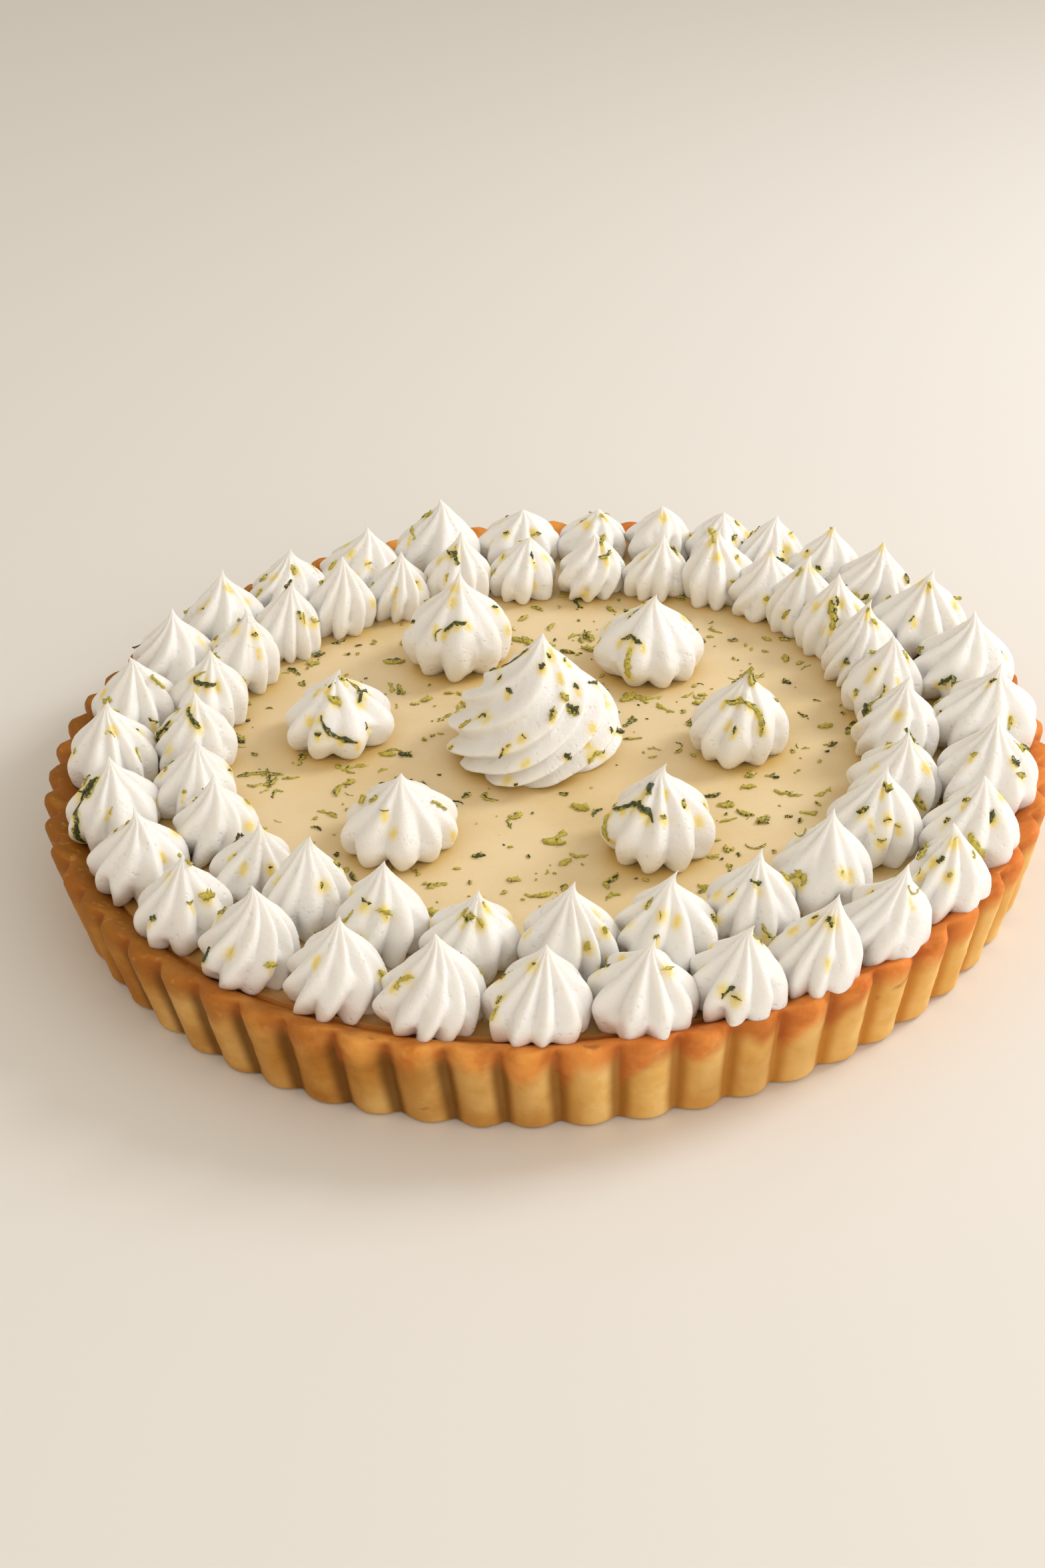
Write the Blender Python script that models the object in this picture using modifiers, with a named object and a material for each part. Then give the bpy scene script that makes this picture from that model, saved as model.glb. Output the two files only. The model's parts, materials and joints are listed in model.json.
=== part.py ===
"""Key lime pie: a fluted pastry crust out of its tin, filled with lime custard.

Two rings of piped meringue kisses stand along the rim, six larger kisses stand
further in, and one tall swirl stands in the middle. Metres, +Z up, with the
origin at the middle of the flat underside. Azimuths are in degrees, with the
front of the pie at 270 (-Y).
"""

import math
import random
from dataclasses import dataclass

import bmesh
import bpy
from mathutils import Vector

MM = 0.001
GAP = 0.3 * MM                  # left between touching pieces
CREASE_ANGLE = math.radians(25)  # edges sharper than this are shaded sharp

# Crust
RIM_RADIUS = 130 * MM           # to the crests of the flutes at the rim
BASE_RADIUS = 125.6 * MM        # to the crests of the flutes at the underside
CRUST_HEIGHT = 24.4 * MM
FLOOR_THICKNESS = 4.5 * MM
WALL_FOOT_RADIUS = 120 * MM     # inside of the wall, at the floor
WALL_MOUTH_RADIUS = 123.6 * MM  # inside of the wall, just above the custard
RIM_BEVEL = 2.6 * MM            # sloped inner edge of the rim, measured across
RIM_BEVEL_HEIGHT = 3.2 * MM
FLUTES = 64
STEPS_PER_FLUTE = 3
FLUTE_DEPTH_RIM = 2.3 * MM
FLUTE_DEPTH_BASE = 1.2 * MM
WALL_SKIN = 1 * MM              # what lies deeper in the wall has no flutes
RIM_WAVES = ((3, 0.25 * MM, 40), (7, 0.2 * MM, 130), (11, 0.15 * MM, 10))
RIM_FALL = 0.5 * MM             # the baked rim is this much lower at its outer edge
RIM_BAND = 0.9                  # the waves move what lies above this share of the height

# Custard
CUSTARD_TOP = 20.4 * MM
CUSTARD_SIDES = 48

# Kisses. A ring of 9 ridges comes from a star nozzle of 9 points.
RIDGES = 9
GROOVE_DEPTH = 0.24             # of the radius
FOOT_WIDTH = 0.78               # of the widest radius
WIDEST_LEVEL = 0.34             # of the height
POINTED = 1.35                  # shoulder power: how hollow the upper half is
BLUNT = 0.9
DRAWN_OUT = 1.7
TWIST = 14                      # degrees that a ridge turns from foot to tip
RING_LEVELS = (0.0, 0.36, 0.70)
MIDDLE_LEVELS = (0.0, 0.30, 0.56, 0.80)
SWIRL_LEVELS = (0.0, 0.15, 0.32, 0.48, 0.63, 0.77, 0.90)
KISS_HEIGHT = 21.6 * MM
KISS_OVERFILL = 0.7 * MM        # neighbours are piped this much into each other
KISS_LEAN = Vector((2.4 * MM, 0.0))  # every tip was pulled off towards the right
LEAN_SPREAD = 1.2 * MM
HEIGHT_SPREAD = 0.05            # a kiss is at most this share taller or lower than usual
NARROWEST_KISS = 10.4 * MM
WIDEST_KISS = 13.4 * MM
OVERHANG_RADIUS = 127.2 * MM    # no kiss hangs over the rim further than this
SEED = 31

# Rings: how many kisses, where the first stands, and how place and radius wander.
# A wave is (waves per turn, size, phase in degrees).
OUTER_COUNT = 31
OUTER_START = 262.8
OUTER_DRIFT = ((1, 4.4, -6), (2, 3.0, 94), (3, 2.1, -23), (4, 1.1, -136))
OUTER_RADIUS = 114.2 * MM
OUTER_WANDER = ((1, 2.4 * MM, -64), (3, 2.0 * MM, -82), (4, 1.4 * MM, 173))
OUTER_ODD = {                   # kiss number: height against the usual, shoulder power
    12: (0.88, BLUNT),
    13: (0.78, BLUNT),
    14: (0.74, BLUNT),
    15: (0.77, BLUNT),
    16: (0.70, BLUNT),
    17: (0.73, BLUNT),
    18: (1.02, DRAWN_OUT),
    19: (0.82, BLUNT),
    20: (0.88, BLUNT),
}

INNER_COUNT = 29
INNER_START = 258.0
INNER_DRIFT = ((1, 6.2, -74), (2, 2.1, 155), (3, 1.3, 47), (4, 1.1, -102))
INNER_RADIUS = 92.2 * MM
INNER_WANDER = ((1, 1.1 * MM, -68), (3, 2.0 * MM, -82), (4, 1.1 * MM, 120))
INNER_ODD = {
    0: (0.86, BLUNT),
    6: (0.88, BLUNT),
    12: (0.86, BLUNT),
    14: (0.82, BLUNT),
    15: (0.78, BLUNT),
    16: (0.76, BLUNT),
    18: (0.84, BLUNT),
    24: (0.86, BLUNT),
    26: (0.84, BLUNT),
}

# Middle kisses: azimuth, distance from the middle, widest radius, height
MIDDLE_KISSES = (
    (169.7, 55.0 * MM, 14.8 * MM, 20.5 * MM),
    (228.9, 55.2 * MM, 14.8 * MM, 20.8 * MM),
    (298.3, 55.5 * MM, 14.1 * MM, 23.7 * MM),
    (353.7, 50.9 * MM, 13.1 * MM, 23.8 * MM),
    (52.1, 49.4 * MM, 15.3 * MM, 23.0 * MM),
    (115.2, 53.1 * MM, 15.1 * MM, 28.5 * MM),
)

SWIRL_CENTRE = Vector((-2.8 * MM, -1.6 * MM))
SWIRL_RADIUS = 24.8 * MM
SWIRL_HEIGHT = 34.0 * MM
SWIRL_TWIST = 118
SWIRL_RIDGE_AZIMUTH = 8
SWIRL_WIDEST_LEVEL = 0.15
SWIRL_LEAN = Vector((4.0 * MM, 0.8 * MM))

PASTRY = ("baked pastry", (0.66, 0.34, 0.11), 0.62)
CUSTARD = ("lime custard", (0.84, 0.70, 0.42), 0.25)
MERINGUE = ("meringue", (0.93, 0.91, 0.87), 0.55)


@dataclass
class Kiss:
    """One piped kiss: where it stands, its size, and how its ridges run."""

    centre: Vector
    radius: float
    height: float
    lean: Vector
    ridge_azimuth: float        # azimuth of one ridge at its widest level
    levels: tuple = RING_LEVELS
    twist: float = TWIST
    shoulder: float = POINTED
    widest_level: float = WIDEST_LEVEL
    partner: "Kiss" = None      # a neighbour that it has run together with


def polar(radius, azimuth):
    turn = math.radians(azimuth)
    return Vector((radius * math.cos(turn), radius * math.sin(turn)))


def azimuth_of(vector):
    return math.degrees(math.atan2(vector.y, vector.x))


def wave_sum(waves, turn):
    """The sum of waves (per turn, size, phase) at a turn in degrees."""
    return sum(
        size * math.cos(math.radians(per_turn * turn + phase))
        for per_turn, size, phase in waves
    )


def clear_scene():
    for obj in list(bpy.data.objects):
        bpy.data.objects.remove(obj, do_unlink=True)


def new_collection(name):
    collection = bpy.data.collections.new(name)
    bpy.context.scene.collection.children.link(collection)
    return collection


def principled(name, colour, roughness):
    material = bpy.data.materials.new(name)
    material.use_nodes = True
    shader = material.node_tree.nodes["Principled BSDF"]
    shader.inputs["Base Color"].default_value = (*colour, 1.0)
    shader.inputs["Roughness"].default_value = roughness
    shader.inputs["Metallic"].default_value = 0.0
    material.diffuse_color = (*colour, 1.0)
    return material


def object_from_bmesh(name, shape, material, collection):
    mesh = bpy.data.meshes.new(name)
    shape.to_mesh(mesh)
    shape.free()
    mesh.materials.append(material)
    obj = bpy.data.objects.new(name, mesh)
    collection.objects.link(obj)
    return obj


def turned(name, profile, steps, collection):
    """A mesh object turned from a profile of (radius, height), outer side first."""
    outline = bpy.data.meshes.new(name + " profile")
    points = [(radius, 0.0, height) for radius, height in profile]
    outline.from_pydata(points, [(i, i + 1) for i in range(len(points) - 1)], [])
    obj = bpy.data.objects.new(name, outline)
    collection.objects.link(obj)
    screw = obj.modifiers.new("Turn", "SCREW")
    screw.axis = "Z"
    screw.steps = steps
    screw.render_steps = steps
    screw.use_merge_vertices = True
    screw.merge_threshold = 0.02 * MM
    graph = bpy.context.evaluated_depsgraph_get()
    mesh = bpy.data.meshes.new_from_object(obj.evaluated_get(graph))
    mesh.name = name
    obj.modifiers.clear()
    obj.data = mesh
    bpy.data.meshes.remove(outline)
    return obj


# Crust and custard -----------------------------------------------------------


def wall_inside(height):
    """The inside radius of the crust's wall at a height up to its rim."""
    bevel_foot = CRUST_HEIGHT - RIM_BEVEL_HEIGHT
    if height >= bevel_foot:
        share = (height - bevel_foot) / RIM_BEVEL_HEIGHT
        return WALL_MOUTH_RADIUS + RIM_BEVEL * share
    share = (height - FLOOR_THICKNESS) / (bevel_foot - FLOOR_THICKNESS)
    return WALL_FOOT_RADIUS + (WALL_MOUTH_RADIUS - WALL_FOOT_RADIUS) * share


def press_flutes(mesh):
    """Presses a valley between the flutes, deepest at the rim, and waves the rim."""
    for vertex in mesh.vertices:
        flat = Vector((vertex.co.x, vertex.co.y))
        turn = azimuth_of(flat)
        share = vertex.co.z / CRUST_HEIGHT
        if flat.length > BASE_RADIUS + (RIM_RADIUS - BASE_RADIUS) * share - WALL_SKIN:
            depth = FLUTE_DEPTH_BASE + (FLUTE_DEPTH_RIM - FLUTE_DEPTH_BASE) * share
            lobe = abs(math.sin(math.radians(turn * FLUTES / 2)))
            flat *= 1 - depth * (1 - lobe) / flat.length
            vertex.co.x, vertex.co.y = flat
        if share > RIM_BAND:
            vertex.co.z += wave_sum(RIM_WAVES, turn)


def build_crust(collection, material):
    bevel_foot = CRUST_HEIGHT - RIM_BEVEL_HEIGHT
    profile = (
        (0.0, FLOOR_THICKNESS),
        (WALL_FOOT_RADIUS, FLOOR_THICKNESS),
        (WALL_MOUTH_RADIUS, bevel_foot),
        (WALL_MOUTH_RADIUS + RIM_BEVEL, CRUST_HEIGHT),
        (RIM_RADIUS, CRUST_HEIGHT - RIM_FALL),
        (BASE_RADIUS, 0.0),
        (0.0, 0.0),
    )
    crust = turned("crust", profile, FLUTES * STEPS_PER_FLUTE, collection)
    press_flutes(crust.data)
    crust.data.materials.append(material)
    crust.data.set_sharp_from_angle(angle=CREASE_ANGLE)
    return crust


def build_custard(collection, material):
    bottom = FLOOR_THICKNESS + GAP
    profile = (
        (0.0, CUSTARD_TOP),
        (wall_inside(CUSTARD_TOP) - GAP, CUSTARD_TOP),
        (wall_inside(bottom) - GAP, bottom),
        (0.0, bottom),
    )
    custard = turned("custard", profile, CUSTARD_SIDES, collection)
    custard.data.materials.append(material)
    custard.data.set_sharp_from_angle(angle=CREASE_ANGLE)
    return custard


# Kisses ----------------------------------------------------------------------


def kiss_width(kiss, level):
    """The radius of a kiss at a level from foot, 0, to tip, 1, against its widest."""
    if level < kiss.widest_level:
        drop = (kiss.widest_level - level) / kiss.widest_level
        return 1 - (1 - FOOT_WIDTH) * drop ** 2
    rise = (level - kiss.widest_level) / (1 - kiss.widest_level)
    return max(math.cos(math.pi / 2 * rise), 0.0) ** kiss.shoulder


def leaning(chance):
    return KISS_LEAN + polar(chance.uniform(0, LEAN_SPREAD), chance.uniform(0, 360))


def ring_of_kisses(count, start, drift, radius, wander, odd, chance):
    """The kisses of one ring, each as wide as the room between its neighbours."""
    centres = []
    for number in range(count):
        turn = 360 * number / count
        azimuth = start + turn + wave_sum(drift, turn)
        centres.append(polar(radius + wave_sum(wander, turn), azimuth))
    kisses = []
    for number, centre in enumerate(centres):
        before = (centre - centres[number - 1]).length
        after = (centre - centres[(number + 1) % count]).length
        width = (before + after) / 4 + KISS_OVERFILL
        share, shoulder = odd.get(number, (1 + HEIGHT_SPREAD * chance.uniform(-1, 1), POINTED))
        kisses.append(
            Kiss(
                centre=centre,
                radius=min(max(width, NARROWEST_KISS), WIDEST_KISS),
                height=KISS_HEIGHT * share,
                lean=leaning(chance),
                ridge_azimuth=chance.uniform(0, 360 / RIDGES),
                shoulder=shoulder,
            )
        )
    return kisses


def pair_up(kisses):
    """Joins kisses two by two: a ridge of each runs into its partner."""
    for first, second in zip(kisses[0::2], kisses[1::2]):
        first.partner, second.partner = second, first
        towards = second.centre - first.centre
        needed = (towards.length + 2 * KISS_OVERFILL) / (first.radius + second.radius)
        first.radius *= max(needed, 1)
        second.radius *= max(needed, 1)
        first.ridge_azimuth = azimuth_of(towards)
        second.ridge_azimuth = azimuth_of(-towards)


def middle_kisses(chance):
    kisses = []
    for azimuth, distance, radius, height in MIDDLE_KISSES:
        lean = leaning(chance)
        phase = chance.uniform(0, 360 / RIDGES)
        kisses.append(
            Kiss(polar(distance, azimuth), radius, height, lean, phase, MIDDLE_LEVELS)
        )
    return kisses


def press_against(flat, kiss, other):
    """Presses a point of a kiss back to the flat between it and a neighbour."""
    towards = other.centre - kiss.centre
    distance = towards.length
    towards.normalize()
    limit = distance * kiss.radius / (kiss.radius + other.radius)
    limit += KISS_OVERFILL if other is kiss.partner else -GAP / 2
    reach = (flat - kiss.centre).dot(towards)
    if reach > limit:
        flat -= towards * (reach - limit)
    return flat


def clear_of_crust(flat, height):
    """Keeps a point of a kiss off the wall, though its belly may hang over the rim."""
    most = OVERHANG_RADIUS if height > CRUST_HEIGHT else wall_inside(height) - GAP
    return flat * (most / flat.length) if flat.length > most else flat


def shape_kiss(kiss, neighbours):
    """A ball reshaped into a kiss with ridges, a flat foot and a leaning tip."""
    shape = bmesh.new()
    rings = len(kiss.levels) + 1
    bmesh.ops.create_uvsphere(shape, u_segments=2 * RIDGES, v_segments=rings, radius=1.0)
    for vertex in shape.verts:
        ring = rings - round(math.acos(max(-1, min(1, vertex.co.z))) / math.pi * rings)
        if ring == 0:
            vertex.co = (*kiss.centre, CUSTARD_TOP + GAP)
            continue
        level = 1.0 if ring == rings else kiss.levels[ring - 1]
        turn = azimuth_of(vertex.co) - 90     # the ball's first meridian is at +Y
        groove = 0.5 - 0.5 * math.cos(math.radians(RIDGES * turn))
        width = kiss.radius * kiss_width(kiss, level) * (1 - GROOVE_DEPTH * groove)
        twist = kiss.twist * (level - kiss.widest_level)
        flat = kiss.centre + polar(width, turn + kiss.ridge_azimuth + twist)
        flat += kiss.lean * max(level - kiss.widest_level, 0) / (1 - kiss.widest_level)
        height = CUSTARD_TOP + GAP + kiss.height * level
        for other in neighbours:
            flat = press_against(flat, kiss, other)
        vertex.co = (*clear_of_crust(flat, height), height)
    return shape


def neighbours_of(kiss, kisses):
    return [
        other
        for other in kisses
        if other is not kiss
        and (other.centre - kiss.centre).length < kiss.radius + other.radius + 2 * GAP
    ]


def build_kiss(name, kiss, kisses, collection, material):
    shape = shape_kiss(kiss, neighbours_of(kiss, kisses))
    return object_from_bmesh(name, shape, material, collection)


def join(obj, other):
    """Makes one solid of two kisses that have run together."""
    union = obj.modifiers.new("Run together", "BOOLEAN")
    union.operation = "UNION"
    union.object = other
    other.hide_render = True
    other.display_type = "WIRE"


def build_kisses(collection, helpers, material):
    chance = random.Random(SEED)
    outer = ring_of_kisses(
        OUTER_COUNT, OUTER_START, OUTER_DRIFT, OUTER_RADIUS, OUTER_WANDER, OUTER_ODD, chance
    )
    inner = ring_of_kisses(
        INNER_COUNT, INNER_START, INNER_DRIFT, INNER_RADIUS, INNER_WANDER, INNER_ODD, chance
    )
    middle = middle_kisses(chance)
    pair_up(outer)
    swirl = Kiss(
        SWIRL_CENTRE,
        SWIRL_RADIUS,
        SWIRL_HEIGHT,
        SWIRL_LEAN,
        SWIRL_RIDGE_AZIMUTH,
        SWIRL_LEVELS,
        SWIRL_TWIST,
        widest_level=SWIRL_WIDEST_LEVEL,
    )
    every = outer + inner + middle + [swirl]
    built = {}
    for ring, kisses in (("outer", outer), ("inner", inner), ("middle", middle)):
        for number, kiss in enumerate(kisses, 1):
            home = helpers if kiss.partner and number % 2 == 0 else collection
            name = f"{ring}_kiss_{number:02d}"
            if kiss.partner and number % 2:
                name = f"{ring}_kisses_{number:02d}_{number + 1:02d}"
            built[ring, number] = build_kiss(name, kiss, every, home, material)
            if home is helpers:
                join(built[ring, number - 1], built[ring, number])
    build_kiss("centre_swirl", swirl, every, collection, material)


def main():
    clear_scene()
    pie = new_collection("key lime pie")
    helpers = new_collection("joined kisses")
    build_crust(pie, principled(*PASTRY))
    build_custard(pie, principled(*CUSTARD))
    build_kisses(pie, helpers, principled(*MERINGUE))


main()
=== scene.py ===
import json
import math
import random
from dataclasses import dataclass

import bmesh
import bpy
import numpy as np
from mathutils import Matrix, Vector
from mathutils.bvhtree import BVHTree
from mathutils.kdtree import KDTree

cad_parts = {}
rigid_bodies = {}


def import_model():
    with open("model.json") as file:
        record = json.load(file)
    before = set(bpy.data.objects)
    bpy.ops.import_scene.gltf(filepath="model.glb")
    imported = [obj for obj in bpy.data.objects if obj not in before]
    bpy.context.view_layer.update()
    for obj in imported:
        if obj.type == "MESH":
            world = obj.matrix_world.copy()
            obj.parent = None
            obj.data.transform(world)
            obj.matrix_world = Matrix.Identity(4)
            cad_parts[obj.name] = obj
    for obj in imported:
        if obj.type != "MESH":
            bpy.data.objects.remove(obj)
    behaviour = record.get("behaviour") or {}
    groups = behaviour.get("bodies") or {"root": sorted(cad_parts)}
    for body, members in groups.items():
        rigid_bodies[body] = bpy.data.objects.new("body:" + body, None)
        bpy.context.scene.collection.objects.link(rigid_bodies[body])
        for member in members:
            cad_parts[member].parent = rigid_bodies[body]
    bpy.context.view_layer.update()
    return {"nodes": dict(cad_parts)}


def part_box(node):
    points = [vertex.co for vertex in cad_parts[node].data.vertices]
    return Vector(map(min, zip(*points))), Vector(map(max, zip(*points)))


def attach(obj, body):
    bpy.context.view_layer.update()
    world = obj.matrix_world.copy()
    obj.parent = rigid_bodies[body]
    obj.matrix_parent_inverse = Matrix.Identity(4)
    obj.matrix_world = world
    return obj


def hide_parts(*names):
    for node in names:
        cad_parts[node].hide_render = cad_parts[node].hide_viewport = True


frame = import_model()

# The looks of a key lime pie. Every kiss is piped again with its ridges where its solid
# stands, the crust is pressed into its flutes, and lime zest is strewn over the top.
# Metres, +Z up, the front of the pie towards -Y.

MM = 0.001
SEED = 7

# Camera and light
CAMERA_DISTANCE = 548.7 * MM
CAMERA_ELEVATION = 33.5  # degrees
CAMERA_YAW = 0.65  # degrees, the small aim off the middle of the underside
CAMERA_PITCH = 0.81
CAMERA_ROLL = 2.85
CAMERA_LENS = 47.1  # millimetres, on a 36 mm frame


# Node trees -------------------


def operator(name):
    return lambda self, other: self.math(name, other)


class Value:
    """A socket of a node tree, to be used in a formula like a number."""

    def __init__(self, tree, socket):
        self.tree = tree
        self.socket = socket

    def math(self, operation, other=0.0, clamp=False):
        return calculate(self.tree, operation, self, other, clamp)

    __add__ = __radd__ = operator("ADD")
    __sub__ = operator("SUBTRACT")
    __mul__ = __rmul__ = operator("MULTIPLY")
    __truediv__ = operator("DIVIDE")
    __pow__ = operator("POWER")

    def __rsub__(self, other):
        return calculate(self.tree, "SUBTRACT", other, self)

    def clamped(self):
        return self.math("ADD", 0.0, clamp=True)

    def smooth(self, low, high):
        """0 below low, 1 above high, and a soft step between them."""
        node = add(self.tree, "ShaderNodeMapRange", {"Value": self}, interpolation_type="SMOOTHSTEP")
        node.inputs["From Min"].default_value = low
        node.inputs["From Max"].default_value = high
        return Value(self.tree, node.outputs["Result"])


def plug(tree, socket, value):
    """Sets a socket, or links it to another."""
    if isinstance(value, Value):
        value = value.socket
    if isinstance(value, bpy.types.NodeSocket):
        tree.links.new(value, socket)
    else:
        socket.default_value = value


def add(tree, kind, inputs=(), **settings):
    """A new node with its settings made and its inputs set or linked."""
    node = tree.nodes.new(kind)
    for name, value in settings.items():
        setattr(node, name, value)
    for name, value in dict(inputs).items():
        plug(tree, node.inputs[name], value)
    return node


def calculate(tree, operation, first, second=0.0, clamp=False):
    node = add(tree, "ShaderNodeMath", {0: first, 1: second}, operation=operation, use_clamp=clamp)
    return Value(tree, node.outputs[0])


def axes_of(tree, vector):
    node = add(tree, "ShaderNodeSeparateXYZ", {0: vector})
    return [Value(tree, socket) for socket in node.outputs]


def vector_of(tree, x, y, z):
    return Value(tree, add(tree, "ShaderNodeCombineXYZ", {0: x, 1: y, 2: z}).outputs[0])


def noise_at(tree, place, scale, detail=2.0, roughness=0.5):
    """Soft noise from 0 to 1, mostly near 0.5."""
    inputs = {"Vector": place, "Scale": scale, "Detail": detail, "Roughness": roughness}
    return Value(tree, add(tree, "ShaderNodeTexNoise", inputs).outputs[0])


def cells_at(tree, place, scale):
    """The distance to the nearest of many points strewn through space."""
    node = add(tree, "ShaderNodeTexVoronoi", {"Vector": place, "Scale": scale})
    return Value(tree, node.outputs["Distance"])


def stretched(tree, place, factor, degrees):
    """Coordinates in which a noise is drawn out along a turned X."""
    inputs = {"Vector": place, "Scale": (1.0, factor, 1.0), "Rotation": (0.0, 0.0, math.radians(degrees))}
    return add(tree, "ShaderNodeMapping", inputs).outputs[0]


def geometry_tree(name, inputs):
    """A Geometry Nodes tree with inputs of several kinds, and its inputs as values."""
    tree = bpy.data.node_groups.new(name, "GeometryNodeTree")
    tree.interface.new_socket("Geometry", in_out="INPUT", socket_type="NodeSocketGeometry")
    for kind, titles in inputs.items():
        for title in titles:
            tree.interface.new_socket(title, in_out="INPUT", socket_type="NodeSocket" + kind)
    tree.interface.new_socket("Geometry", in_out="OUTPUT", socket_type="NodeSocketGeometry")
    start = tree.nodes.new("NodeGroupInput")
    return tree, {socket.name: Value(tree, socket) for socket in start.outputs if socket.name}


def finish_tree(tree, geometry, material):
    """Ends a tree: instances are made real, and everything gets one material."""
    real = add(tree, "GeometryNodeRealizeInstances", {"Geometry": geometry})
    smooth = add(tree, "GeometryNodeSetShadeSmooth", {"Geometry": real.outputs[0]})
    coated = add(tree, "GeometryNodeSetMaterial", {"Geometry": smooth.outputs[0], "Material": material})
    plug(tree, tree.nodes.new("NodeGroupOutput").inputs[0], coated.outputs[0])
    return tree


def mesh_from(shape, name):
    """Ends a bmesh as a mesh."""
    mesh = bpy.data.meshes.new(name)
    shape.to_mesh(mesh)
    shape.free()
    return mesh


def placed(name, data):
    """A new object in the scene."""
    obj = bpy.data.objects.new(name, data)
    bpy.context.scene.collection.objects.link(obj)
    return obj


def grown(name, tree, sizes, start=None):
    """A plain mesh object made by a Geometry Nodes tree with these sizes."""
    obj = start or placed(name, bpy.data.meshes.new(name))
    modifier = obj.modifiers.new("Shape", "NODES")
    modifier.node_group = tree
    for socket in tree.interface.items_tree:
        if socket.in_out == "INPUT" and socket.name in sizes:
            modifier[socket.identifier] = sizes[socket.name]
    graph = bpy.context.evaluated_depsgraph_get()
    mesh = bpy.data.meshes.new_from_object(obj.evaluated_get(graph))
    mesh.name = name
    obj.modifiers.clear()
    obj.data = mesh
    return obj


def dress(piece, slot_name, *nodes):
    """Fastens a finished piece to the pie, in the place of its solids."""
    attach(piece, "root")
    if nodes:
        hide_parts(*nodes)


# Materials --------------------

FINISH = {
    "gloss": "Specular IOR Level",
    "glow": "Subsurface Weight",
    "glow_tint": "Subsurface Radius",
    "glow_depth": "Subsurface Scale",
}


def new_material(name, colour, roughness, **finish):
    """A material, its tree and the piece's own coordinates."""
    material = bpy.data.materials.new(name)
    material.use_nodes = True
    material.diffuse_color = (*colour, 1.0)
    tree = material.node_tree
    shader = tree.nodes["Principled BSDF"]
    shader.inputs["Base Color"].default_value = (*colour, 1.0)
    shader.inputs["Roughness"].default_value = roughness
    for title, value in finish.items():
        shader.inputs[FINISH[title]].default_value = value
    place = add(tree, "ShaderNodeTexCoord").outputs["Object"]
    return material, tree, place


def mixed(tree, share, first, second):
    """A colour between two others."""
    node = add(tree, "ShaderNodeMix", {"Factor": share}, data_type="RGBA")
    colours = [socket for socket in node.inputs if socket.type == "RGBA"]
    for socket, colour in zip(colours, (first, second)):
        if isinstance(colour, tuple):
            colour = (*colour, 1.0)
        plug(tree, socket, colour)
    return [socket for socket in node.outputs if socket.type == "RGBA"][0]


def coat(tree, colour, height=0.0, depth=0.0):
    """Gives a material its colour, and fine relief: height from 0 to 1, depth in metres."""
    shader = tree.nodes["Principled BSDF"]
    plug(tree, shader.inputs["Base Color"], colour)
    if depth:
        node = add(tree, "ShaderNodeBump", {"Height": height, "Distance": depth})
        plug(tree, shader.inputs["Normal"], node.outputs[0])


def painted(tree, name):
    """A number that a piece carries on each of its points."""
    return Value(tree, add(tree, "ShaderNodeAttribute", attribute_name=name).outputs["Fac"])


def meringue_material():
    """Satin white meringue with fine pores, stained yellow where zest lies on it."""
    white = (0.868, 0.858, 0.843)
    material, tree, place = new_material(
        "meringue", white, 0.42, gloss=0.5, glow=0.7, glow_tint=(1.0, 0.8, 0.56), glow_depth=2.2 * MM
    )
    stain = painted(tree, "stain")
    patchy = noise_at(tree, place, 900, 2.0)
    share = (stain * (0.5 + 1.2 * patchy)).clamped()
    colour = mixed(tree, share * 0.95, white, (0.87, 0.70, 0.17))
    pore = cells_at(tree, place, 620).smooth(0.0, 0.38)
    sparse = noise_at(tree, place, 230, 1.0).smooth(0.46, 0.60)
    pores = 1.0 - (1.0 - pore) * sparse
    grain = noise_at(tree, place, 1300, 3.0, 0.6)
    coat(tree, colour, pores * 0.6 + grain * 0.4, 0.38 * MM)
    return material


def custard_material():
    """Pale, softly glossy lime custard with a faint wrinkled skin and specks."""
    cream = (0.80, 0.62, 0.35)
    material, tree, place = new_material(
        "lime custard", cream, 0.3, gloss=0.35, glow=0.35, glow_tint=(1.0, 0.62, 0.22), glow_depth=2.6 * MM
    )
    cloud = noise_at(tree, place, 38, 3.0)
    colour = mixed(tree, cloud.smooth(0.35, 0.7), (0.82, 0.66, 0.41), (0.77, 0.60, 0.33))
    speck = 1.0 - cells_at(tree, place, 420).smooth(0.06, 0.16)
    speck = speck * noise_at(tree, place, 120, 1.0).smooth(0.55, 0.62)
    colour = mixed(tree, speck * 0.5, colour, (0.62, 0.42, 0.12))
    # painted contact shadow: darker, browner custard round the foot of each kiss
    colour = mixed(tree, painted(tree, "beside") * 0.7, colour, (0.55, 0.33, 0.04))
    # browner custard along the wall: partly browned filling, partly painted shade
    colour = mixed(tree, painted(tree, "edge") * 0.85, colour, (0.50, 0.22, 0.045))
    skin = noise_at(tree, stretched(tree, place, 3.2, 28), 170, 4.0, 0.6)
    fine = noise_at(tree, place, 700, 2.0)
    x, y = axes_of(tree, place)[:2]
    away = ((x - 9 * MM) ** 2.0 + (y + 39 * MM) ** 2.0).math("SQRT")
    creases = noise_at(tree, stretched(tree, place, 9.0, -25), 420, 3.0, 0.6)
    wrinkled = creases * (1.0 - away.smooth(4 * MM, 12 * MM))
    coat(tree, colour, skin * 0.5 + fine * 0.2 + wrinkled * 0.6, 0.28 * MM)
    return material


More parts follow.
